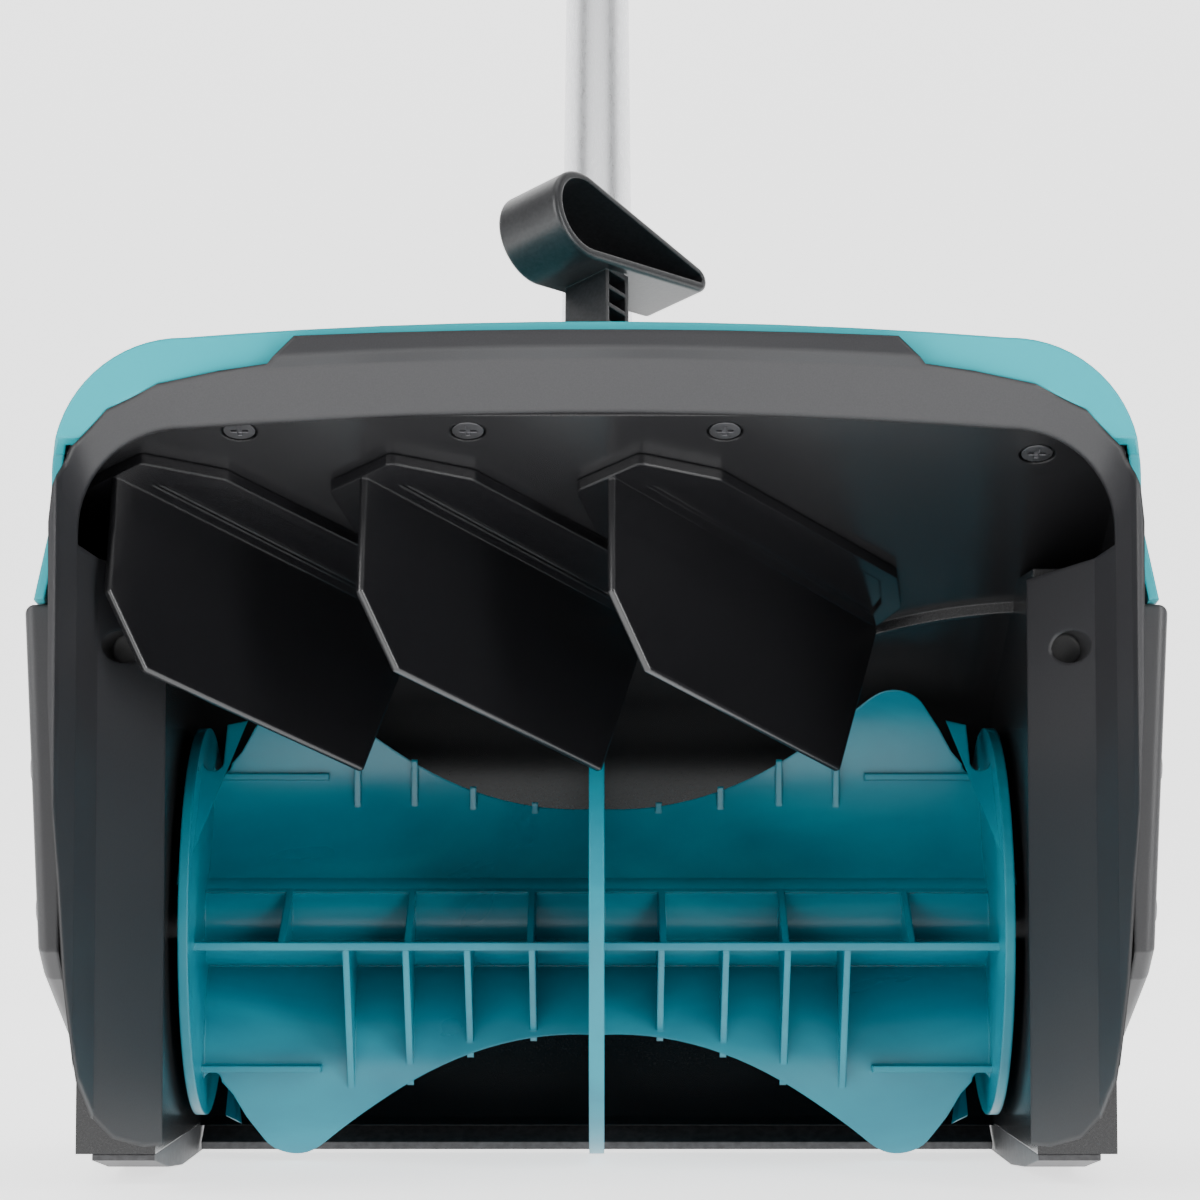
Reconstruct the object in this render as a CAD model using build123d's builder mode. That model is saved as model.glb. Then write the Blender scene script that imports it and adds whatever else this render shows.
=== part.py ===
from build123d import *
from math import cos, radians, sin, tan
import os

os.makedirs("parts", exist_ok=True)

# Frame: +X to the viewer's right when facing the mouth, the mouth faces -Y, +Z up.

# ---- driving dimensions, millimetres and degrees ----
wall = 3.0
box_inner = 127.0            # inner face of each side box
box_outer = 150.0            # where the side covers begin
cover_outer = 161.0          # outer face of the side covers

split_z = 165.6              # where the top cover meets the side covers
ceiling_slope = 24.0         # the ceiling falls towards the back
ceiling_z0 = 223.0           # height of the ceiling's plane above Y = 0
hood_front = 14.0            # the ceiling starts behind the front frame
box_top = 178.0              # top of the side boxes

rotor_y = 150.0
rotor_z = 74.4
rotor_r = 72.0
end_disc_r = 60.0
end_disc_in = 121.0
end_disc_out = 124.0
rotor_shaft_r = 6.0
cover_lean = 0.049           # the side covers lean in towards the ground by this slope
drum_r = 74.8                # the rear wall's inner radius about the rotor's axis

vane_pitch = 70.5
vane_turn = 41.1             # the vanes stand turned this far to the left
vane_y = 110.2
pivot_r = 6.0
running = 0.05               # radial clearance of a running fit
gap = 0.3                    # clearance between bodies

gear_y = 190.0
gear_z = 180.5
pipe_angle = 44.0
pipe_r = 12.5
pipe_bore = 11.3
pipe_start = 42.0            # distances along the pipe's axis from the gears' apex
pipe_end = 860.0
insert_length = 60.0
drive_r = 4.0
cross_r = 5.0
pulley_x = 141.5
drive_pulley_r = 16.0
rotor_pulley_r = 28.0
belt_thickness = 2.4
bevel_pitch_r = 15.0
bevel_teeth = 16

# ---- directions and planes worked out from them ----
slope = radians(ceiling_slope)
normal = Vector(0, sin(slope), cos(slope))
downhill = Vector(0, cos(slope), -sin(slope))


def ceiling_z(y):
    return ceiling_z0 - tan(slope) * y


turn = radians(vane_turn)
vane_front = Vector(-1, 0, 0) * sin(turn) - downhill * cos(turn)
vane_xs = {"left": -vane_pitch, "centre": 0.0, "right": vane_pitch}


def vane_plane(x, height=0.0):
    """The plane of the ceiling at a vane's pivot: local x runs to the vane's front end."""
    origin = Vector(x, vane_y, ceiling_z(vane_y)) + normal * height
    return Plane(origin=origin, x_dir=vane_front, z_dir=normal)


pipe_dir = Vector(0, cos(radians(pipe_angle)), sin(radians(pipe_angle)))
apex = Vector(0, gear_y, gear_z)
rotor_axis = Axis((0, rotor_y, rotor_z), (1, 0, 0))


def pipe_plane(distance):
    return Plane(origin=apex + pipe_dir * distance, x_dir=(1, 0, 0), z_dir=pipe_dir)


def side_plane(x, y=0.0, z=0.0):
    """A plane across X: local x is Y and local y is Z."""
    return Plane(origin=(x, y, z), x_dir=(0, 1, 0), z_dir=(1, 0, 0))


def front_plane(y):
    """A plane across Y: local x is X and local y is Z. Its normal is -Y."""
    return Plane.XZ.offset(-y)


# The pieces are drawn from the mouth's front face. They are written from the part's own
# origin, on the ground under the middle of the whole object.
origin_y = (gear_y + pipe_end * cos(radians(pipe_angle)) + pipe_r * sin(radians(pipe_angle))) / 2


def save(piece, name):
    placed = piece.part.moved(Location((0, -origin_y, 0)))
    placed.label = name
    export_step(placed, f"parts/{name}.step")


# ---- screws, drawn first so that the pieces that they hold can be drilled by them ----
def screw(plane, shank_r, length, head_r, head_height):
    """A pan-head screw with a cross recess: its head stands on the plane."""
    with BuildSketch(plane) as head:
        Circle(head_r)
    extrude(head.sketch, amount=head_height)
    with BuildSketch(plane) as shank:
        Circle(shank_r)
    extrude(shank.sketch, amount=-length)
    with BuildSketch(plane.offset(head_height)) as cross:
        Rectangle(head_r * 1.1, head_r * 0.3)
        Rectangle(head_r * 0.3, head_r * 1.1)
    extrude(cross.sketch, amount=-head_height * 0.6, mode=Mode.SUBTRACT)


ceiling_screw_places = [(-100.0, 22.0), (-36.0, 22.0), (36.0, 22.0), (124.7, 33.5)]
cover_screw_places = [(48, 120), (48, 80), (222, 150), (222, 40), (130, 22)]      # Y, Z
scraper_screw_xs = (-100, -36, 36, 100)
scraper_screw_angle = -51.0
scraper_outer_r = drum_r + wall + 2.65


def drum_point(angle, radius):
    """Y and Z of a point at an angle round the rotor's axis."""
    return (rotor_y + radius * cos(radians(angle)), rotor_z + radius * sin(radians(angle)))


screw_sink = 1.8             # the ceiling's screw heads lie flush in counterbores
with BuildPart() as ceiling_screws:
    for x, y in ceiling_screw_places:
        spot = Vector(x, y, ceiling_z(y)) + normal * screw_sink
        screw(Plane(origin=spot, x_dir=(1, 0, 0), z_dir=-normal), 2.2, 9.0, 4.4, 1.6)
save(ceiling_screws, "ceiling_screws")

with BuildPart() as cover_screws:
    for side in (-1, 1):
        for y, z in cover_screw_places:
            x = side * (cover_outer + 0.4 - cover_lean * (split_z - z))
            screw(Plane(origin=(x, y, z), x_dir=(0, 1, 0), z_dir=(side, 0, 0)), 2.0, 7.0, 3.8, 1.8)
save(cover_screws, "cover_screws")

with BuildPart() as scraper_screws:
    away = Vector(0, cos(radians(scraper_screw_angle)), sin(radians(scraper_screw_angle)))
    y, z = drum_point(scraper_screw_angle, scraper_outer_r)
    for x in scraper_screw_xs:
        screw(Plane(origin=(x, y, z), x_dir=(1, 0, 0), z_dir=away), 2.0, 5.0, 3.8, 1.8)
save(scraper_screws, "scraper_screws")

# ---- front frame ----
frame_depth = 14.0
leg_depth = 64.0
mouth_sections = [           # Y, half width, top at the centre, corner radius
    (-0.5, 148.0, 234.5, 34.0),
    (4.0, 147.0, 231.5, 33.0),
    (14.5, 143.5, 216.6, 28.0),
]
leg_sections = [(14.0, 144.0), (32.0, 140.5), (60.0, 124.5), (64.5, 127.0)]
crown = 4.5                  # the top edges bow up this much between the corners


def mouth_outline(half, top, corner, bottom=-5.0):
    """The mouth's outline: straight sides, rounded top corners and a bowed top."""
    shoulder = top - crown
    with BuildLine() as outline:
        Line((-half, shoulder - corner), (-half, bottom))
        Line((-half, bottom), (half, bottom))
        Line((half, bottom), (half, shoulder - corner))
        ThreePointArc(
            (half, shoulder - corner),
            (half - corner * 0.29, shoulder - corner * 0.29),
            (half - corner, shoulder),
        )
        ThreePointArc((half - corner, shoulder), (0, top), (-half + corner, shoulder))
        ThreePointArc(
            (-half + corner, shoulder),
            (-half + corner * 0.29, shoulder - corner * 0.29),
            (-half, shoulder - corner),
        )
    return outline


frame_right = [              # X, Z of the frame's right edge, from the top tab to the toe
    (83, 237.2), (90.5, 229.8), (104, 228.0), (121, 224.6), (135, 217.5), (144.5, 207.0),
    (149.0, 196.0), (150.0, 186.0), (149.6, 137.0), (145.8, 59.5), (143.4, 33.0),
    (141.0, 22.0), (136.5, 15.5), (129.0, 12.0), (123.0, 12.0), (114.0, 18.0),
]

with BuildSketch(front_plane(0)) as frame_outline:
    with BuildLine():
        ThreePointArc((-83, 237.2), (0, 239.0), (83, 237.2))
        Polyline(*frame_right)
        Line(frame_right[-1], (-frame_right[-1][0], frame_right[-1][1]))
        Polyline(*[(-x, z) for x, z in frame_right])
    make_face()

with BuildPart() as front_frame:
    extrude(frame_outline.sketch, amount=-leg_depth)
    with BuildSketch(front_plane(mouth_sections[0][0])):
        add(mouth_outline(*mouth_sections[0][1:]))
        make_face()
    with BuildSketch(front_plane(mouth_sections[1][0])):
        add(mouth_outline(*mouth_sections[1][1:]))
        make_face()
    with BuildSketch(front_plane(mouth_sections[2][0])):
        add(mouth_outline(*mouth_sections[2][1:]))
        make_face()
    loft(ruled=True, mode=Mode.SUBTRACT)
    with BuildSketch(Plane.XY.offset(-5)):
        with BuildLine():
            right = [(half, y) for y, half in leg_sections]
            Polyline(*right, *[(-x, y) for x, y in reversed(right)], close=True)
        make_face()
    extrude(amount=box_top + 10, mode=Mode.SUBTRACT)
    with BuildSketch(side_plane(-170)):
        with BuildLine():
            Polyline((frame_depth, 250), (frame_depth, 181), (60, 174.5), (66, 174.5), (66, 250), close=True)
        make_face()
    extrude(amount=340, mode=Mode.SUBTRACT)
    with Locations(
        Plane(origin=(135.0, 44, 154), x_dir=(1, 0, 0), z_dir=(0, 1, 0)),
        Plane(origin=(-135.0, 44, 154), x_dir=(1, 0, 0), z_dir=(0, 1, 0)),
    ):
        Cylinder(radius=4.6, height=26, mode=Mode.SUBTRACT)
save(front_frame, "front_frame")


# ---- the top cover's form, which the hood follows too ----
cover_wall = 2.5
cover_sections = [           # Y, half width, half width at the split, top, corner radius
    (6.0, 150.0, 155.0, 242.0, 36.0),
    (46.0, 155.2, 159.0, 240.0, 36.0),
    (190.0, 157.0, 159.4, 225.0, 26.0),
    (238.0, 151.0, 154.0, 202.0, 22.0),
]
flare_z = 188.0              # below this the sides flare out to the split


def cover_form(inset, front=-0.2):
    """The top cover's solid form, its outer faces moved in by inset and its front back by front."""
    with BuildPart() as form:
        for y, half, foot, top, corner in cover_sections:
            last = y == cover_sections[-1][0]
            side = half - inset
            high = top - inset - crown
            edge = foot - inset
            radius = corner - inset * 0.6
            low = split_z - 10 - inset
            bend = high - radius if last else flare_z + 0.2 * inset
            bend = min(bend, high - radius - 0.5)
            first = y == cover_sections[0][0]
            with BuildSketch(front_plane(y - inset if last else y + (front if first and inset else 0))):
                with BuildLine():
                    Polyline((-side, high - radius), (-side, bend), (-edge, split_z), (-edge, low))
                    Line((-edge, low), (edge, low))
                    Polyline((edge, low), (edge, split_z), (side, bend), (side, high - radius))
                    ThreePointArc(
                        (side, high - radius),
                        (side - radius * 0.29, high - radius * 0.29),
                        (side - radius, high),
                    )
                    ThreePointArc((side - radius, high), (0, high + crown), (-side + radius, high))
                    ThreePointArc(
                        (-side + radius, high),
                        (-side + radius * 0.29, high - radius * 0.29),
                        (-side, high - radius),
                    )
                make_face()
        loft()
    return form.part


# ---- housing shell: ceiling, hood, rear wall and side boxes ----
drum_end = -58.0             # the rear wall stops this far round, at the scraper
hood_wall = 2.0
hood_plan = [(145.0, hood_front), (149.8, 44.0), (149.8, 112.0)]   # inner half widths, Y
box_profile = [              # Y, Z around a side box
    (64.6, 9.0), (64.6, box_top - wall), (112.0, box_top - wall), (112.0, box_top),
    (148.0, 203.0), (196.0, 203.0), (208.0, 196.3), (218.0, 184.5), (229.0, 164.0), (229.0, 22.0),
    (220.0, 9.0),
]
bearing_r = 14.0
bearing_width = 8.0
bearing_x = 127.5


def shell_outline(offset, close_to=None):
    """The ceiling and the drum's wall in one line, moved outwards by offset."""
    radius = drum_r + offset
    start = (hood_front, ceiling_z(hood_front) + offset / cos(slope))
    knee = drum_point(90 - ceiling_slope, radius)
    middle = drum_point((90 - ceiling_slope + drum_end) / 2, radius)
    return start, knee, middle, drum_point(drum_end, radius)


with BuildPart() as hood_space:
    with BuildSketch(Plane.XY.offset(box_top)):
        with BuildLine():
            Polyline(*hood_plan, *[(-x, y) for x, y in reversed(hood_plan)], close=True)
        make_face()
    extrude(amount=60)
    split(bisect_by=Plane(origin=(0, 0, ceiling_z0), z_dir=normal), keep=Keep.BOTTOM)
    add(cover_form(cover_wall + 1.0 + hood_wall), mode=Mode.INTERSECT)

with BuildPart() as housing_shell:
    with BuildSketch(Plane.XY.offset(box_top - wall)):
        with BuildLine():
            outer_plan = [(x + hood_wall, y) for x, y in hood_plan]
            Polyline(*outer_plan, *[(-x, y) for x, y in reversed(outer_plan)], close=True)
        make_face()
    extrude(amount=60)
    split(
        bisect_by=Plane(origin=Vector(0, 0, ceiling_z0) + normal * wall, z_dir=normal),
        keep=Keep.BOTTOM,
    )
    add(cover_form(cover_wall + 1.0), mode=Mode.INTERSECT)
    # the box's inner walls close the hood's block from X = -box_inner to box_inner
    with BuildSketch(side_plane(-box_inner)):
        start, knee, middle, end = shell_outline(wall)
        with BuildLine():
            Polyline((64.6, 9.0), (64.6, box_top - wall), (112.0, ceiling_z(112.0) + wall / cos(slope)), knee)
            ThreePointArc(knee, middle, end)
            Line(end, (64.6, 9.0))
        make_face()
    extrude(amount=2 * box_inner)
    for side in (-1, 1):
        with BuildSketch(side_plane(side * box_inner)):
            with BuildLine():
                Polyline(*box_profile, close=True)
            make_face()
        extrude(amount=side * (box_outer - box_inner))
        with BuildSketch(side_plane(side * (box_inner + wall))):
            with BuildLine():
                Polyline(*box_profile, close=True)
            make_face()
            offset(amount=-wall)
        extrude(amount=side * (box_outer - box_inner), mode=Mode.SUBTRACT)
        with BuildSketch(side_plane(side * (box_inner + 1), rotor_y, rotor_z)):
            Circle(bearing_r + 4)
        extrude(amount=side * (bearing_width + 0.5))
        with BuildSketch(side_plane(side * bearing_x, rotor_y, rotor_z)):
            Circle(bearing_r)
        extrude(amount=side * 20, mode=Mode.SUBTRACT)
        with BuildSketch(side_plane(side * (box_inner - 1), rotor_y, rotor_z)):
            Circle(rotor_shaft_r + 3)
        extrude(amount=side * 20, mode=Mode.SUBTRACT)
    # the space that the rotor sweeps
    with BuildSketch(side_plane(-box_inner)):
        start, knee, middle, end = shell_outline(0)
        with BuildLine():
            Line(start, knee)
            ThreePointArc(knee, middle, end)
            Polyline(end, (150, -5), (hood_front - 4, -5), (hood_front - 4, start[1]), start)
        make_face()
    extrude(amount=2 * box_inner, mode=Mode.SUBTRACT)
    add(hood_space.part, mode=Mode.SUBTRACT)
    # the vanes sweep over the frame's legs
    with BuildSketch(Plane.XY.offset(box_top - wall - 1)):
        with BuildLine():
            legs_plan = [*hood_plan[:2], (hood_plan[1][0], 64.6)]
            Polyline(*legs_plan, *[(-x, y) for x, y in reversed(legs_plan)], close=True)
        make_face()
    extrude(amount=wall + 2, mode=Mode.SUBTRACT)
    # a curved stiffening rib on the ceiling
    with BuildPart(mode=Mode.PRIVATE) as ceiling_rib:
        with BuildSketch(Plane.XY.offset(140)):
            with BuildLine():
                ThreePointArc((84.0, 130.5), (104.0, 121.0), (box_inner + 0.5, 116.0))
            trace(line_width=2.0)
        extrude(amount=60)
        split(bisect_by=Plane(origin=(0, 0, ceiling_z0 - 3.2), z_dir=normal), keep=Keep.TOP)
        split(bisect_by=Plane(origin=(0, 0, ceiling_z0 + 1.0), z_dir=normal), keep=Keep.BOTTOM)
    add(ceiling_rib.part)
    # pivot holes through the ceiling, each in a thicker boss
    for x in vane_xs.values():
        with BuildSketch(vane_plane(x, wall - 0.5)):
            Circle(pivot_r + 5)
        extrude(amount=3.0)
        with BuildSketch(vane_plane(x, -1)):
            Circle(pivot_r + running)
        extrude(amount=12, mode=Mode.SUBTRACT)
    for x, y in ceiling_screw_places:
        spot = Vector(x, y, ceiling_z(y)) - normal
        with BuildSketch(Plane(origin=spot, z_dir=normal)):
            Circle(5.2)
        extrude(amount=1 + screw_sink, mode=Mode.SUBTRACT)
    add(ceiling_screws.part, mode=Mode.SUBTRACT)
    add(front_frame.part, mode=Mode.SUBTRACT)
    add(scraper_screws.part, mode=Mode.SUBTRACT)
    # the cross shaft's way into the right box
    with BuildSketch(side_plane(box_inner - 1, gear_y, gear_z)):
        Circle(cross_r + 3)
    extrude(amount=8, mode=Mode.SUBTRACT)
save(housing_shell, "housing_shell")

# ---- top cover ----
with BuildPart() as top_cover:
    add(cover_form(0))
    add(cover_form(cover_wall, 4.0), mode=Mode.SUBTRACT)
    extrude(frame_outline.sketch, amount=-frame_depth, mode=Mode.SUBTRACT)
    with BuildSketch(Plane.XY.offset(split_z)):
        Rectangle(400, 600)
    extrude(amount=-60, mode=Mode.SUBTRACT)
    add(front_frame.part, mode=Mode.SUBTRACT)
    with BuildSketch(side_plane(-170)):
        with BuildLine():
            Polyline((0, 150), (hood_front + 1.5, 150), (hood_front + 1.5, 206), (0, 212), close=True)
        make_face()
    extrude(amount=340, mode=Mode.SUBTRACT)
    with BuildSketch(vane_plane(0, 20)):
        Circle(17)
    extrude(amount=80, mode=Mode.SUBTRACT)
    with BuildSketch(pipe_plane(20)):
        Circle(29)
    extrude(amount=80, mode=Mode.SUBTRACT)
save(top_cover, "top_cover")

# ---- side covers ----
side_front = 30.0
side_outline = [
    (side_front, split_z - 0.4), (side_front, 68), (40, 60), (84, 40), (112, 12), (222, 12),
    (236, 28), (236, split_z - 0.4),
]
for side, name in ((-1, "left"), (1, "right")):
    with BuildPart() as side_cover:
        for depth, inset, mode in ((cover_outer, 0, Mode.ADD), (cover_outer - wall, wall, Mode.SUBTRACT)):
            with BuildPart(mode=Mode.PRIVATE) as block:
                with BuildSketch(side_plane(side * (box_outer + (0.4 if inset == 0 else 0)))):
                    with BuildLine():
                        Polyline(*side_outline, close=True)
                    make_face()
                    if inset:
                        offset(amount=-inset, kind=Kind.INTERSECTION)
                extrude(amount=side * 14)
                face = Plane(
                    origin=(side * (depth + 0.2), 0, split_z), z_dir=(side, 0, -cover_lean)
                )
                split(bisect_by=face, keep=Keep.BOTTOM)
                if not inset:
                    rim = block.part.faces().sort_by(Axis.X)[-1 if side > 0 else 0]
                    fillet(rim.edges(), 3.0)
            add(block.part, mode=mode)
        add(cover_screws.part, mode=Mode.SUBTRACT)
    save(side_cover, f"side_cover_{name}")

# ---- scraper and soles ----
with BuildPart() as scraper_bar:
    with BuildSketch(side_plane(-box_inner + 0.6)):
        low, high = -66.0, -46.0
        inside = drum_r + wall
        with BuildLine():
            ThreePointArc(drum_point(low, inside), drum_point((low + high) / 2, inside), drum_point(high, inside))
            Line(drum_point(high, inside), drum_point(high, scraper_outer_r))
            ThreePointArc(
                drum_point(high, scraper_outer_r),
                drum_point((low + high) / 2, scraper_outer_r),
                drum_point(low, scraper_outer_r),
            )
            Line(drum_point(low, scraper_outer_r), drum_point(low, inside))
        make_face()
    extrude(amount=2 * (box_inner - 0.6))
    add(scraper_screws.part, mode=Mode.SUBTRACT)
save(scraper_bar, "scraper_bar")

sole_outline = [
    (64.8, 8.9), (222, 8.9), (222, 4), (217, 0), (136, 0), (100, 2.4), (64.8, 7.2),
]
for side, name in ((-1, "left"), (1, "right")):
    with BuildPart() as sole:
        with BuildSketch(side_plane(side * (box_inner + 0.2))):
            with BuildLine():
                Polyline(*sole_outline, close=True)
            make_face()
        extrude(amount=side * 18)
    save(sole, f"sole_{name}")


# ---- paddle rotor ----
blade_thickness = 2.6
hub_r = 14.0
shelf_front = 43.0           # the stiffening shelf reaches this far from the axis
shelf_z = 7.0
rib = 2.0
band_rib_xs = (20.0, 57.0, 95.0)
gusset_ribs = [(19.5, 37.0), (39.0, 42.0), (57.5, 50.5), (75.5, 61.0)]     # X, outer radius
wing = [                     # X and radius of the blade's outer edge, from the centre to the end
    (0, 35.0), (20, 35.8), (40, 41.0), (56, 48.5), (70, 57.5), (82, 66.5), (90, 71.6),
    (97, 71.4), (103, 67.0), (108, 60.0), (112, 53.0), (115.5, 49.0), (124, 49.0),
]


def rotor_plane(x):
    return side_plane(x, rotor_y, rotor_z)


with BuildPart() as half_rotor:
    # the scoop blade: an arc in side view, trimmed to its wing shape in front view
    with BuildSketch(rotor_plane(-end_disc_out)):
        with BuildLine():
            ThreePointArc((-12, 9), (11, 40), (-2, 73))
            Line((-2, 73), (0.8, 73))
            ThreePointArc((0.8, 73), (11 + blade_thickness, 40), (-9.6, 8))
            Line((-9.6, 8), (-12, 9))
        make_face()
    extrude(amount=2 * end_disc_out)
    with BuildSketch(Plane.XZ.offset(-rotor_y + 40)):
        with BuildLine():
            points = [(x, rotor_z + r) for x, r in wing]
            Spline(*points[:9])
            Polyline(*points[8:])
            Spline(*[(-x, z) for x, z in points[:9]])
            Polyline(*[(-x, z) for x, z in points[8:]])
            Polyline(
                points[-1], (points[-1][0], rotor_z - 5), (-points[-1][0], rotor_z - 5),
                (-points[-1][0], points[-1][1]),
            )
        make_face()
    extrude(amount=-80, mode=Mode.INTERSECT)
    # corner webs between the blade and the end discs
    for side in (-1, 1):
        top = Vector(side * 110.6, rotor_y + 6, rotor_z + 62)
        rim_top = Vector(side * end_disc_out, rotor_y - 14, rotor_z + 58)
        rim_front = Vector(side * end_disc_out, rotor_y - 58, rotor_z + 12)
        across = (rim_top - top).cross(rim_front - top).normalized()
        web = Plane(origin=top, x_dir=(rim_front - top).normalized(), z_dir=across)
        with BuildSketch(web):
            with BuildLine():
                Polyline(
                    *[web.to_local_coords(p) for p in (top, rim_top, rim_front)], close=True
                )
            make_face()
        extrude(amount=1.2, both=True)
        with BuildSketch(front_plane(rotor_y - 80)):
            with Locations((side * 118.2, rotor_z + 56)):
                Rectangle(5.6, 14)
            with Locations((side * 118.2, rotor_z + 49)):
                Circle(2.8)
        extrude(amount=-100, mode=Mode.SUBTRACT)
    # shelf behind the blade
    with BuildSketch(rotor_plane(-end_disc_out)):
        with Locations(((shelf_front + 6) / 2, shelf_z)):
            Rectangle(shelf_front - 6, 2.4)
    extrude(amount=2 * end_disc_out)
    # ribs between the shelf's edge and the blade's root on the other side of the shaft
    for x in band_rib_xs:
        with BuildSketch(rotor_plane(-x - rib / 2), rotor_plane(x - rib / 2)):
            with BuildLine():
                Polyline((12, -9), (shelf_front, shelf_z), (4, shelf_z), (4, -9), close=True)
            make_face()
        extrude(amount=rib)
    # gusset ribs from the shelf's edge out to the blade's edge
    for x, reach in gusset_ribs:
        with BuildSketch(rotor_plane(-x - rib / 2), rotor_plane(x - rib / 2)):
            with BuildLine():
                Polyline(
                    (2, shelf_z), (shelf_front, shelf_z), (8.5 if reach < 60 else 6.5, reach), (11, 30), close=True
                )
            make_face()
        extrude(amount=rib)
    for side in (-1, 1):
        with BuildSketch(Plane.XY.offset(rotor_z + 44)):
            with Locations((side * 103.5, rotor_y + 14.5)):
                Rectangle(38, 11)
        extrude(amount=rib)

with BuildPart() as paddle_rotor:
    add(half_rotor.part)
    add(half_rotor.part.rotate(rotor_axis, 180))
    with BuildSketch(rotor_plane(-end_disc_out)):
        Circle(hub_r)
    extrude(amount=2 * end_disc_out)
    for side in (-1, 1):
        with BuildSketch(rotor_plane(side * end_disc_in)):
            Circle(end_disc_r)
        extrude(amount=side * (end_disc_out - end_disc_in))
    with BuildSketch(rotor_plane(-2.3)):
        Circle(rotor_r)
    extrude(amount=4.6)
    with BuildSketch(rotor_plane(-130)):
        Circle(rotor_shaft_r)
    extrude(amount=260, mode=Mode.SUBTRACT)
save(paddle_rotor, "paddle_rotor")

with BuildPart() as rotor_shaft:
    with BuildSketch(rotor_plane(-140)):
        Circle(rotor_shaft_r)
    extrude(amount=293)
    chamfer(rotor_shaft.edges().filter_by(GeomType.CIRCLE), 0.8)
save(rotor_shaft, "rotor_shaft")

with BuildPart() as rotor_nuts:
    for x in (-139.0, 147.0):
        with BuildSketch(rotor_plane(x)):
            RegularPolygon(10, 6)
            Circle(rotor_shaft_r, mode=Mode.SUBTRACT)
        extrude(amount=5 if x > 0 else 3)
save(rotor_nuts, "rotor_nuts")

with BuildPart() as rotor_bearings:
    for x in (-bearing_x - bearing_width, bearing_x):
        with BuildSketch(rotor_plane(x)):
            Circle(bearing_r)
            Circle(rotor_shaft_r + running, mode=Mode.SUBTRACT)
        extrude(amount=bearing_width)
save(rotor_bearings, "rotor_bearings")


# ---- belt drive in the right side box ----
pulley_width = 8.0
flange_rise = 3.0


def pulley(centre_y, centre_z, radius, bore):
    """A flat-belt pulley with two flanges, centred on the belt's plane."""
    half = pulley_width / 2
    for x, width, rim in (
        (-half, pulley_width, radius),
        (-half, 1.0, radius + flange_rise),
        (half - 1.0, 1.0, radius + flange_rise),
    ):
        with BuildSketch(side_plane(pulley_x + x, centre_y, centre_z)) as disc:
            Circle(rim)
            Circle(bore, mode=Mode.SUBTRACT)
        extrude(disc.sketch, amount=width)
    with BuildSketch(side_plane(pulley_x - half, centre_y, centre_z)) as holes:
        with PolarLocations((radius + bore) / 2 + 0.5, 5):
            Circle((radius - bore) * 0.22)
    extrude(holes.sketch, amount=pulley_width, mode=Mode.SUBTRACT)


with BuildPart() as rotor_pulley:
    pulley(rotor_y, rotor_z, rotor_pulley_r, rotor_shaft_r)
save(rotor_pulley, "rotor_pulley")

with BuildPart() as drive_pulley:
    pulley(gear_y, gear_z, drive_pulley_r, cross_r)
save(drive_pulley, "drive_pulley")


def belt_loop(offset_out):
    """The outline of a tight loop round both pulleys."""
    with BuildSketch(side_plane(pulley_x - 2.7)) as loop:
        with Locations((rotor_y, rotor_z)):
            Circle(rotor_pulley_r + offset_out)
        with Locations((gear_y, gear_z)):
            Circle(drive_pulley_r + offset_out)
        make_hull()
    return loop.sketch


with BuildPart() as drive_belt:
    extrude(belt_loop(gap + belt_thickness), amount=5.4)
    extrude(belt_loop(gap), amount=5.4, mode=Mode.SUBTRACT)
save(drive_belt, "drive_belt")

# ---- cross shaft, bevel gears and drive shaft ----
bevel_face = (9.5, 16.0)     # the teeth run between these distances from the apex
tip_ratio = 1.09
root_ratio = 0.84


def bevel_section(plane, scale, phase):
    """A bevel gear's toothed outline, scaled from its pitch radius."""
    points = []
    for tooth in range(bevel_teeth):
        centre = phase + tooth * 360 / bevel_teeth
        for angle, ratio in ((-6.6, root_ratio), (-2.9, tip_ratio), (2.9, tip_ratio), (6.6, root_ratio)):
            turn_to = radians(centre + angle)
            reach = bevel_pitch_r * scale * ratio
            points.append((reach * cos(turn_to), reach * sin(turn_to)))
    with BuildSketch(plane) as outline:
        with BuildLine():
            Polyline(*points, close=True)
        make_face()
    return outline.sketch


def bevel_gear(origin, x_dir, z_dir, phase, bore, hub_end):
    """A mitre gear whose pitch cone has its apex at origin and opens along z_dir."""
    near, far = bevel_face
    sections = []
    for distance in bevel_face:
        plane = Plane(origin=origin + z_dir * distance, x_dir=x_dir, z_dir=z_dir)
        sections.append(bevel_section(plane, distance / bevel_pitch_r, phase))
    loft(sections, ruled=True)
    with BuildSketch(Plane(origin=origin + z_dir * far, x_dir=x_dir, z_dir=z_dir)) as hub:
        Circle(9.0)
    extrude(hub.sketch, amount=hub_end - far)
    with BuildSketch(Plane(origin=origin + z_dir * (near - 1), x_dir=x_dir, z_dir=z_dir)) as hole:
        Circle(bore)
    extrude(hole.sketch, amount=hub_end - near + 2, mode=Mode.SUBTRACT)


across_x = Vector(1, 0, 0)
with BuildPart() as bevel_gear_wheel:
    bevel_gear(apex, pipe_dir, across_x, 0.0, cross_r, 21.0)
save(bevel_gear_wheel, "bevel_gear")

with BuildPart() as bevel_pinion:
    bevel_gear(apex, across_x, pipe_dir, 180 / bevel_teeth, drive_r, 22.0)
save(bevel_pinion, "bevel_pinion")

with BuildPart() as cross_shaft:
    with BuildSketch(side_plane(-31, gear_y, gear_z)):
        Circle(cross_r)
    extrude(amount=31 + pulley_x + 6)
    chamfer(cross_shaft.edges().filter_by(GeomType.CIRCLE), 0.6)
save(cross_shaft, "cross_shaft")

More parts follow.
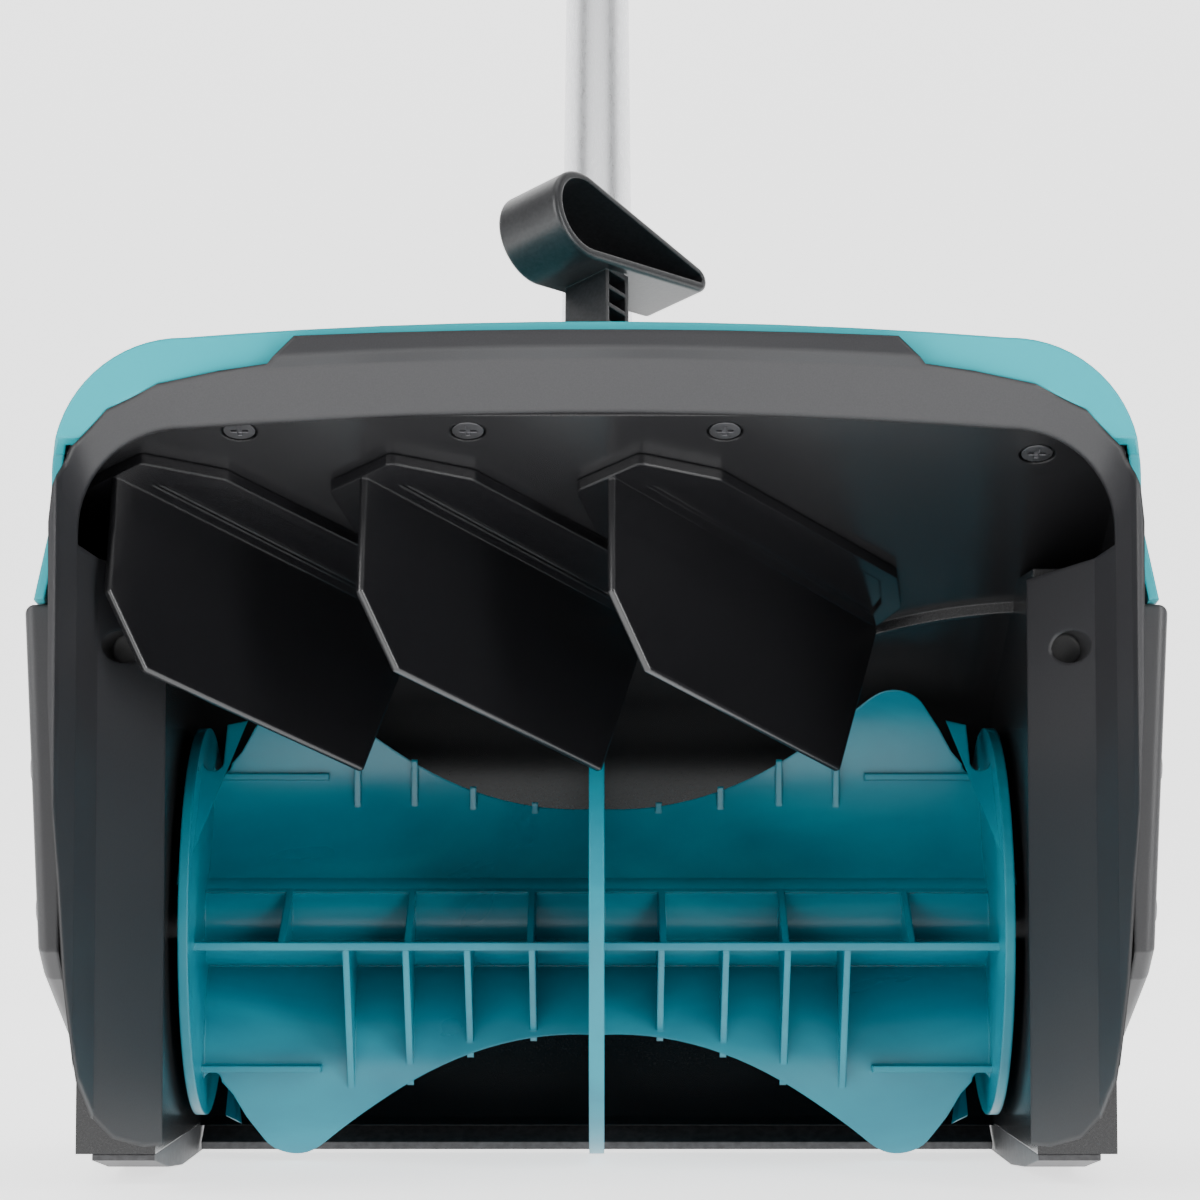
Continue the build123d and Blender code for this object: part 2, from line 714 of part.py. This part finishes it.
drive_end = pipe_end - 6.0
with BuildPart() as drive_shaft:
    with BuildSketch(pipe_plane(bevel_face[0])):
        Circle(drive_r)
    extrude(amount=drive_end - 24 - bevel_face[0])
    with BuildSketch(pipe_plane(drive_end - 24)):
        Rectangle(5.4, 5.4)
    extrude(amount=24)
save(drive_shaft, "drive_shaft")

cross_bearing = (11.0, 7.0)  # outer radius, width
pipe_bearing = (13.0, 8.0)
cross_bearing_xs = (-30.0, 23.0)
pipe_bearing_at = 24.0
with BuildPart() as gear_bearings:
    for x in cross_bearing_xs:
        with BuildSketch(side_plane(x, gear_y, gear_z)):
            Circle(cross_bearing[0])
            Circle(cross_r + running, mode=Mode.SUBTRACT)
        extrude(amount=cross_bearing[1])
    with BuildSketch(pipe_plane(pipe_bearing_at)):
        Circle(pipe_bearing[0])
        Circle(drive_r + running, mode=Mode.SUBTRACT)
    extrude(amount=pipe_bearing[1])
save(gear_bearings, "gear_bearings")

bush_places = (110.0, 330.0, 550.0, 770.0)
with BuildPart() as shaft_bushes:
    for distance in bush_places:
        with BuildSketch(pipe_plane(distance)):
            Circle(pipe_bore)
            Circle(drive_r + running, mode=Mode.SUBTRACT)
        extrude(amount=16)
save(shaft_bushes, "shaft_bushes")

with BuildPart() as pipe:
    with BuildSketch(pipe_plane(pipe_start)):
        Circle(pipe_r)
        Circle(pipe_bore, mode=Mode.SUBTRACT)
    extrude(amount=pipe_end - pipe_start)
    # a ring marks how far the pipe goes into the power head's coupling
    with BuildSketch(pipe_plane(pipe_end - insert_length - 1.0)):
        Circle(pipe_r + 1)
        Circle(pipe_r - 0.3, mode=Mode.SUBTRACT)
    extrude(amount=1.0, mode=Mode.SUBTRACT)
save(pipe, "pipe")

# ---- gear case, in two halves ----
case_r = 28.0
case_half_width = 33.0
socket_r = 18.0
socket_end = 84.0


def case_plane(x):
    """Across X at the gears' apex: local x runs along the pipe."""
    return Plane(origin=apex + Vector(x, 0, 0), x_dir=pipe_dir, z_dir=(1, 0, 0))


case_lugs = [(-30.0, 12.0), (20.0, 24.0), (20.0, -24.0), (66.0, 20.5), (66.0, -20.5)]
lug_r = 6.0
with BuildPart() as case_screws:
    for along, aside in case_lugs:
        spot = case_plane(0).from_local_coords((along, aside, 11.0))
        screw(Plane(origin=spot, x_dir=pipe_dir, z_dir=(1, 0, 0)), 2.0, 18.0, 3.8, 2.2)
save(case_screws, "case_screws")

with BuildPart() as gear_case:
    with BuildSketch(case_plane(-case_half_width)):
        Circle(case_r)
    extrude(amount=2 * case_half_width)
    chamfer(gear_case.edges().filter_by(GeomType.CIRCLE), 3.0)
    with BuildSketch(pipe_plane(0)):
        Circle(socket_r)
    extrude(amount=socket_end)
    with BuildSketch(case_plane(-11)):
        for along, aside in case_lugs:
            with Locations((along, aside)):
                Circle(lug_r)
        with Locations((66.0, 0)):
            Rectangle(12, 41)
        with Locations((10, 0)):
            Rectangle(20, 48)
    extrude(amount=22)
    # the foot that stands on the drum
    toward = Vector(0, rotor_y - gear_y, rotor_z - gear_z).normalized()
    with BuildSketch(Plane(origin=apex, x_dir=(1, 0, 0), z_dir=toward)):
        Rectangle(50, 34)
    extrude(amount=38)
    with BuildSketch(side_plane(-60, rotor_y, rotor_z)):
        Circle(drum_r + wall)
    extrude(amount=120, mode=Mode.SUBTRACT)
    with BuildSketch(side_plane(cross_bearing_xs[0] + cross_bearing[1] - 0.01, gear_y, gear_z)):
        Circle(case_r - 3.6)
    extrude(amount=cross_bearing_xs[1] - cross_bearing_xs[0] - cross_bearing[1] + 0.02, mode=Mode.SUBTRACT)
    for x in cross_bearing_xs:
        with BuildSketch(side_plane(x, gear_y, gear_z)):
            Circle(cross_bearing[0])
        extrude(amount=cross_bearing[1], mode=Mode.SUBTRACT)
    with BuildSketch(side_plane(0, gear_y, gear_z)):
        Circle(cross_r + 1.5)
    extrude(amount=60, both=True, mode=Mode.SUBTRACT)
    with BuildSketch(pipe_plane(0)):
        Circle(drive_r + 1.5)
    extrude(amount=socket_end + 5, mode=Mode.SUBTRACT)
    with BuildSketch(pipe_plane(0)):
        Circle(pipe_bearing[0])
    extrude(amount=pipe_bearing_at + pipe_bearing[1], mode=Mode.SUBTRACT)
    with BuildSketch(pipe_plane(pipe_start)):
        Circle(pipe_r)
    extrude(amount=80, mode=Mode.SUBTRACT)
    add(case_screws.part, mode=Mode.SUBTRACT)
    add(housing_shell.part, mode=Mode.SUBTRACT)

for name, keep in (("left", Keep.BOTTOM), ("right", Keep.TOP)):
    with BuildPart() as case_half:
        add(gear_case.part)
        split(bisect_by=Plane.YZ, keep=keep)
    save(case_half, f"gear_case_{name}")

# ---- deflector vanes ----
vane_thickness = 2.6
vane_outline = [(-23, -3.2), (101.6, -3.2), (101.6, -40), (86, -59), (-1.4, -59)]   # along, up
flange_outline = [(102.5, 12), (80, 23.5), (0, 25.5), (-16, 15), (-20.5, 3)]            # along, aside
spigot_top = 14.0
crank_reach = 22.0
crank_low = 5.9
crank_high = 9.7
pin_r = 2.5


def vane_side_plane(x, aside=0.0):
    """The plane of a vane's plate: local x runs to its front end, local y away from the ceiling."""
    return Plane(
        origin=vane_plane(x).origin + normal.cross(vane_front) * aside,
        x_dir=vane_front,
        z_dir=vane_front.cross(normal),
    )


for name, x in vane_xs.items():
    with BuildPart() as vane:
        with BuildSketch(vane_side_plane(x)):
            with BuildLine():
                Polyline(*vane_outline, close=True)
            make_face()
        extrude(amount=vane_thickness / 2, both=True)
        fillet(vane.edges(), 1.0)
        with BuildSketch(vane_plane(x, -gap)):
            with BuildLine():
                Polyline(
                    *flange_outline, *[(a, -b) for a, b in reversed(flange_outline)], close=True
                )
            make_face()
            fillet(vertices(), 2.5)
        extrude(amount=-3.4)
        with BuildSketch(vane_plane(x, -gap - 3.4)):
            with BuildLine():
                Polyline((92, 5.5), (77, 18.5), (2, 20.5), (-10, 12), (-14, 5.5), close=True)
            make_face()
            mirror(about=Plane.XZ)
        extrude(amount=1.2, mode=Mode.SUBTRACT)
        with BuildSketch(vane_plane(x, -gap - 3)):
            Circle(pivot_r)
        extrude(amount=spigot_top + gap + 3)
    save(vane, f"vane_{name}")


def crank_arm(x):
    """The arm that turns a vane, with the pin that the link bar sits on."""
    plane = vane_plane(x, crank_low)
    shifted = Plane(origin=plane.from_local_coords((-crank_reach / 2, 0, 0)), x_dir=plane.x_dir, z_dir=plane.z_dir)
    with BuildSketch(shifted) as arm:
        SlotCenterToCenter(crank_reach, 11)
    extrude(arm.sketch, amount=crank_high - crank_low)
    tip = Plane(origin=plane.from_local_coords((-crank_reach, 0, 0)), x_dir=plane.x_dir, z_dir=plane.z_dir)
    with BuildSketch(tip) as pin:
        Circle(pin_r)
    extrude(pin.sketch, amount=9.0)


for name in ("left", "right"):
    x = vane_xs[name]
    with BuildPart() as crank:
        crank_arm(x)
        with BuildSketch(vane_plane(x, crank_low)):
            Circle(10)
        extrude(amount=spigot_top - crank_low)
        with BuildSketch(vane_plane(x, crank_low - 1)):
            Circle(pivot_r)
        extrude(amount=12, mode=Mode.SUBTRACT)
    save(crank, f"crank_{name}")

# ---- link bar, which keeps the three vanes parallel ----
bar_low = crank_high + 0.4
with BuildPart() as link_bar:
    centre_tip = vane_plane(0, bar_low).from_local_coords((-crank_reach, 0, 0))
    bar_plane = Plane(origin=centre_tip, x_dir=(1, 0, 0), z_dir=normal)
    with BuildSketch(bar_plane):
        SlotCenterToCenter(2 * vane_pitch, 8.4)
        with Locations((-vane_pitch, 0), (vane_pitch, 0)):
            Circle(pin_r + gap, mode=Mode.SUBTRACT)
        Circle(pin_r + running, mode=Mode.SUBTRACT)
    extrude(amount=3.2)
save(link_bar, "link_bar")

# ---- deflector lever with its T-handle ----
stem_along = 11.0
stem_aside = 17.0
stem_top = 113.0
grip_width = 25.0
grip_wall = 2.8
grip_front = ((18.5, 123.0), 15.0)
grip_rear = ((-36.0, 126.0), 4.5)


def grip_outline(inset):
    (front, front_r), (rear, rear_r) = grip_front, grip_rear
    with BuildSketch(vane_side_plane(0, grip_width / 2)) as outline:
        with Locations(front):
            Circle(front_r - inset)
        with Locations(rear):
            Circle(rear_r - inset)
        make_hull()
    return outline.sketch


with BuildPart() as deflector_lever:
    extrude(grip_outline(0), amount=grip_width)
    fillet(deflector_lever.edges().filter_by(lambda e: e.length > 12), 1.6)
    extrude(grip_outline(grip_wall), amount=grip_width - grip_wall, mode=Mode.SUBTRACT)
    with BuildSketch(vane_plane(0, spigot_top - 4)):
        Rectangle(stem_along, stem_aside)
    extrude(amount=stem_top - spigot_top + 4)
    # the stem is a channel with cross ribs
    with BuildSketch(vane_side_plane(0, stem_aside / 2 + 0.1)):
        cell, web = 5.2, 1.5
        for step in range(13):
            with Locations((0, 28 + step * (cell + web))):
                Rectangle(stem_along - 3.2, cell)
    extrude(amount=stem_aside - 3, mode=Mode.SUBTRACT)
    crank_arm(0)
    with BuildSketch(vane_plane(0, crank_low)):
        Circle(10.5)
    extrude(amount=16)
    with BuildSketch(vane_plane(0, crank_low - 1)):
        Circle(pivot_r)
    extrude(amount=spigot_top - crank_low + 1, mode=Mode.SUBTRACT)
save(deflector_lever, "deflector_lever")
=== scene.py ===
import math

import bpy
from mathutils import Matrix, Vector

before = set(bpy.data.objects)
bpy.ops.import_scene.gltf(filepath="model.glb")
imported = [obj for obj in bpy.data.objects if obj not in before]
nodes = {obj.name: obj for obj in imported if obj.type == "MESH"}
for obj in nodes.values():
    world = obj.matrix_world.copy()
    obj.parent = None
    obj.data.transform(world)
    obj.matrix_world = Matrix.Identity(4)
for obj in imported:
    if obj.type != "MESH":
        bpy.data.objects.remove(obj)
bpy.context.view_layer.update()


# ---- materials: lengths in metres, texture scales per metre ----
MIDDLE = 0.5                 # a noise texture's factor lies mostly about this value
SPREAD = (0.3, 0.7)          # and seldom leaves this range
FINE_DISTANCE = 0.0001       # the height of fine tool marks and grain
GRAIN_DISTANCE = 0.0002      # the height of a moulded grain
BEVEL_SAMPLES = 4


def new_material(name):
    material = bpy.data.materials.new(name)
    material.use_nodes = True
    tree = material.node_tree
    shader = tree.nodes["Principled BSDF"]
    return material, tree, shader


def object_coords(tree):
    return tree.nodes.new("ShaderNodeTexCoord").outputs["Object"]


def noise(tree, coords, scale, detail=2.0, roughness=0.5, distortion=0.0, stretch=None):
    """A noise texture's factor. A larger stretch on an axis makes the marks shorter along it."""
    source = coords
    if stretch:
        mapping = tree.nodes.new("ShaderNodeMapping")
        mapping.inputs["Scale"].default_value = stretch
        tree.links.new(coords, mapping.inputs["Vector"])
        source = mapping.outputs["Vector"]
    texture = tree.nodes.new("ShaderNodeTexNoise")
    texture.inputs["Scale"].default_value = scale
    texture.inputs["Detail"].default_value = detail
    texture.inputs["Roughness"].default_value = roughness
    texture.inputs["Distortion"].default_value = distortion
    tree.links.new(source, texture.inputs["Vector"])
    return texture.outputs["Fac"]


def remap(tree, value, low, high, to_low, to_high):
    node = tree.nodes.new("ShaderNodeMapRange")
    node.inputs["From Min"].default_value = low
    node.inputs["From Max"].default_value = high
    node.inputs["To Min"].default_value = to_low
    node.inputs["To Max"].default_value = to_high
    tree.links.new(value, node.inputs["Value"])
    return node.outputs["Result"]


def vary_roughness(tree, shader, value, low, high):
    tree.links.new(remap(tree, value, *SPREAD, low, high), shader.inputs["Roughness"])


def vary_colour(tree, shader, factor, first, second):
    """The base colour goes from first to second as the factor goes from 0 to 1."""
    node = tree.nodes.new("ShaderNodeMix")
    node.data_type = "RGBA"
    node.inputs["A"].default_value = (*first, 1)
    node.inputs["B"].default_value = (*second, 1)
    tree.links.new(factor, node.inputs["Factor"])
    tree.links.new(node.outputs["Result"], shader.inputs["Base Color"])


def surface(tree, shader, height, strength, distance, edge):
    """Rounds the edges in the shading and adds the fine height on top."""
    rounded = tree.nodes.new("ShaderNodeBevel")
    rounded.samples = BEVEL_SAMPLES
    rounded.inputs["Radius"].default_value = edge
    bump = tree.nodes.new("ShaderNodeBump")
    bump.inputs["Strength"].default_value = strength
    bump.inputs["Distance"].default_value = distance
    tree.links.new(height, bump.inputs["Height"])
    tree.links.new(rounded.outputs["Normal"], bump.inputs["Normal"])
    tree.links.new(bump.outputs["Normal"], shader.inputs["Normal"])


def plastic(name, dark, light, rough, grain, relief, edge=0.0006, speckle=0.35, coat=0.0):
    """Moulded plastic: a grain with its own relief, a speckled colour and cloudy gloss."""
    material, tree, shader = new_material(name)
    coords = object_coords(tree)
    fine = noise(tree, coords, grain, 3.0, 0.6)
    cloud = noise(tree, coords, 14.0)
    factor = remap(tree, fine, MIDDLE - speckle / 2, MIDDLE + speckle / 2, 0.0, 1.0)
    vary_colour(tree, shader, factor, dark, light)
    vary_roughness(tree, shader, cloud, rough * 0.88, rough * 1.12)
    shader.inputs["Coat Weight"].default_value = coat
    shader.inputs["Coat Roughness"].default_value = 0.12
    surface(tree, shader, fine, relief, GRAIN_DISTANCE, edge)
    return material


def metal(name, colour, rough, scale, stretch=(1.0, 1.0, 1.0), relief=0.05):
    """Metal with fine tool marks."""
    material, tree, shader = new_material(name)
    coords = object_coords(tree)
    marks = noise(tree, coords, scale, 3.0, 0.6, 0.0, stretch)
    shader.inputs["Base Color"].default_value = (*colour, 1)
    shader.inputs["Metallic"].default_value = 1.0
    vary_roughness(tree, shader, marks, rough * 0.8, rough * 1.2)
    surface(tree, shader, marks, relief, FINE_DISTANCE, 0.0003)
    return material


def rotor_plastic():
    """Satin teal with faint flow marks."""
    material, tree, shader = new_material("rotor_teal")
    coords = object_coords(tree)
    flow = noise(tree, coords, 9.0, 4.0, 0.55, 1.6, (1.0, 2.2, 2.2))
    fine = noise(tree, coords, 1400.0)
    factor = remap(tree, flow, 0.32, 0.7, 0.0, 1.0)
    vary_colour(tree, shader, factor, (0.0, 0.16, 0.225), (0.001, 0.225, 0.295))
    vary_roughness(tree, shader, flow, 0.27, 0.38)
    surface(tree, shader, fine, 0.05, FINE_DISTANCE, 0.0009)
    return material


def cover_plastic():
    """Brighter satin teal with a very faint cloud."""
    material, tree, shader = new_material("cover_teal")
    coords = object_coords(tree)
    cloud = noise(tree, coords, 8.0)
    fine = noise(tree, coords, 1100.0)
    vary_colour(tree, shader, cloud, (0.0, 0.3, 0.36), (0.004, 0.37, 0.425))
    vary_roughness(tree, shader, cloud, 0.3, 0.37)
    surface(tree, shader, fine, 0.06, FINE_DISTANCE, 0.0012)
    return material


frame_grey = plastic(
    "frame_grey", (0.016, 0.016, 0.018), (0.026, 0.026, 0.028),
    rough=0.34, grain=2200.0, relief=0.12, edge=0.0016, speckle=0.5,
)
cover_grey = plastic(
    "cover_grey", (0.018, 0.018, 0.02), (0.028, 0.028, 0.03),
    rough=0.4, grain=2200.0, relief=0.14, edge=0.0014, speckle=0.5,
)
housing_black = plastic(
    "housing_black", (0.009, 0.009, 0.01), (0.016, 0.016, 0.017),
    rough=0.24, grain=1500.0, relief=0.06,
)
vane_black = plastic(
    "vane_black", (0.006, 0.006, 0.007), (0.01, 0.01, 0.011),
    rough=0.16, grain=900.0, relief=0.02, edge=0.001, speckle=0.5, coat=0.5,
)
lever_black = plastic(
    "lever_black", (0.01, 0.01, 0.011), (0.022, 0.022, 0.024),
    rough=0.33, grain=800.0, relief=0.15, edge=0.0008,
)
crank_black = plastic(
    "crank_black", (0.014, 0.014, 0.015), (0.026, 0.026, 0.028),
    rough=0.36, grain=800.0, relief=0.12, edge=0.0005,
)
scraper_black = plastic(
    "scraper_black", (0.02, 0.02, 0.022), (0.05, 0.05, 0.053),
    rough=0.52, grain=420.0, relief=0.35,
)
pulley_black = plastic(
    "pulley_plastic", (0.045, 0.045, 0.05), (0.075, 0.075, 0.08),
    rough=0.45, grain=700.0, relief=0.15, edge=0.0005,
)
nylon = plastic(
    "bush_plastic", (0.6, 0.58, 0.52), (0.7, 0.68, 0.62),
    rough=0.4, grain=600.0, relief=0.08, edge=0.0004,
)
rubber = plastic(
    "belt_rubber", (0.012, 0.012, 0.013), (0.03, 0.03, 0.031),
    rough=0.7, grain=1300.0, relief=0.4, edge=0.0004,
)
screw_steel = metal("screw_steel", (0.2, 0.2, 0.21), rough=0.33, scale=900.0)
bearing_steel = metal("bearing_steel", (0.66, 0.66, 0.68), rough=0.24, scale=600.0)
shaft_steel = metal("shaft_steel", (0.58, 0.58, 0.6), rough=0.28, scale=120.0, stretch=(14.0, 1.0, 1.0))
gear_steel = metal("gear_steel", (0.45, 0.45, 0.47), rough=0.36, scale=500.0)
pipe_aluminium = metal(
    "pipe_aluminium", (0.72, 0.73, 0.75), rough=0.3, scale=160.0, stretch=(10.0, 1.0, 1.0), relief=0.04
)
cover_teal = cover_plastic()
rotor_teal = rotor_plastic()

looks = [
    (frame_grey, ["front_frame"]),
    (cover_teal, ["top_cover"]),
    (cover_grey, ["side_cover_left", "side_cover_right"]),
    (scraper_black, ["scraper_bar", "sole_left", "sole_right"]),
    (housing_black, ["housing_shell", "gear_case_left", "gear_case_right"]),
    (screw_steel, ["ceiling_screws", "cover_screws", "scraper_screws", "case_screws", "rotor_nuts"]),
    (bearing_steel, ["gear_bearings", "rotor_bearings"]),
    (shaft_steel, ["rotor_shaft", "cross_shaft", "drive_shaft"]),
    (gear_steel, ["bevel_gear", "bevel_pinion"]),
    (pulley_black, ["rotor_pulley", "drive_pulley"]),
    (nylon, ["shaft_bushes"]),
    (rubber, ["drive_belt"]),
    (pipe_aluminium, ["pipe"]),
    (rotor_teal, ["paddle_rotor"]),
    (vane_black, ["vane_left", "vane_centre", "vane_right"]),
    (crank_black, ["crank_left", "crank_right", "link_bar"]),
    (lever_black, ["deflector_lever"]),
]
for material, names in looks:
    for name in names:
        mesh = nodes[name].data
        mesh.materials.clear()
        mesh.materials.append(material)

# ---- floor and backdrop: one sheet that bends up behind the object ----
SHEET_FRONT = -4.0
SHEET_BEND_START = 2.2
SHEET_BEND_RADIUS = 1.6
SHEET_BEND_STEPS = 12
SHEET_TOP = 6.0
SHEET_HALF_WIDTH = 7.0


def backdrop():
    profile = [(SHEET_FRONT, 0.0), (SHEET_BEND_START, 0.0)]
    for step in range(1, SHEET_BEND_STEPS + 1):
        angle = math.radians(90 * step / SHEET_BEND_STEPS)
        back = SHEET_BEND_START + SHEET_BEND_RADIUS * math.sin(angle)
        profile.append((back, SHEET_BEND_RADIUS - SHEET_BEND_RADIUS * math.cos(angle)))
    profile.append((SHEET_BEND_START + SHEET_BEND_RADIUS, SHEET_TOP))
    points = [(x, y, z) for x in (-SHEET_HALF_WIDTH, SHEET_HALF_WIDTH) for y, z in profile]
    count = len(profile)
    faces = [(i, i + 1, count + i + 1, count + i) for i in range(count - 1)]
    mesh = bpy.data.meshes.new("backdrop")
    mesh.from_pydata(points, [], faces)
    for polygon in mesh.polygons:
        polygon.use_smooth = True
    sheet = bpy.data.objects.new("backdrop", mesh)
    bpy.context.scene.collection.objects.link(sheet)
    material, _, shader = new_material("backdrop_white")
    shader.inputs["Base Color"].default_value = (0.92, 0.92, 0.92, 1)
    shader.inputs["Roughness"].default_value = 0.75
    shader.inputs["Emission Color"].default_value = (1.0, 1.0, 1.0, 1)
    shader.inputs["Emission Strength"].default_value = 1.6
    mesh.materials.append(material)
    return sheet


backdrop()

# ---- light: a soft white room with a box on each side and one above ----
world = bpy.data.worlds.new("studio")
bpy.context.scene.world = world
world.use_nodes = True
background = world.node_tree.nodes["Background"]
background.inputs["Color"].default_value = (1.0, 1.0, 1.0, 1)
background.inputs["Strength"].default_value = 0.5


def area_light(name, place, target, width, height, power):
    data = bpy.data.lights.new(name, "AREA")
    data.shape = "RECTANGLE"
    data.size = width
    data.size_y = height
    data.energy = power
    lamp = bpy.data.objects.new(name, data)
    lamp.location = place
    aim = Vector(target) - Vector(place)
    lamp.rotation_euler = aim.to_track_quat("-Z", "Y").to_euler()
    bpy.context.scene.collection.objects.link(lamp)


area_light("left_box", (-1.5, -1.3, 0.9), (0, -0.3, 0.15), 0.9, 1.4, 30.0)
area_light("right_box", (1.1, -1.5, 0.6), (0, -0.3, 0.12), 0.4, 1.4, 20.0)
area_light("top_box", (0.0, -0.2, 2.2), (0, 0, 0.2), 1.6, 1.6, 14.0)

# ---- camera: a metre in front of the mouth, low, looking slightly up ----
CAMERA_PLACE = (0.001, -1.40866, 0.0963)
CAMERA_PITCH = 3.9           # degrees above the horizon
camera_data = bpy.data.cameras.new("camera")
camera_data.sensor_width = 36.0
camera_data.lens = 110.1
camera = bpy.data.objects.new("camera", camera_data)
camera.location = CAMERA_PLACE
camera.rotation_euler = (math.radians(90 + CAMERA_PITCH), 0, 0)
bpy.context.scene.collection.objects.link(camera)
bpy.context.scene.camera = camera
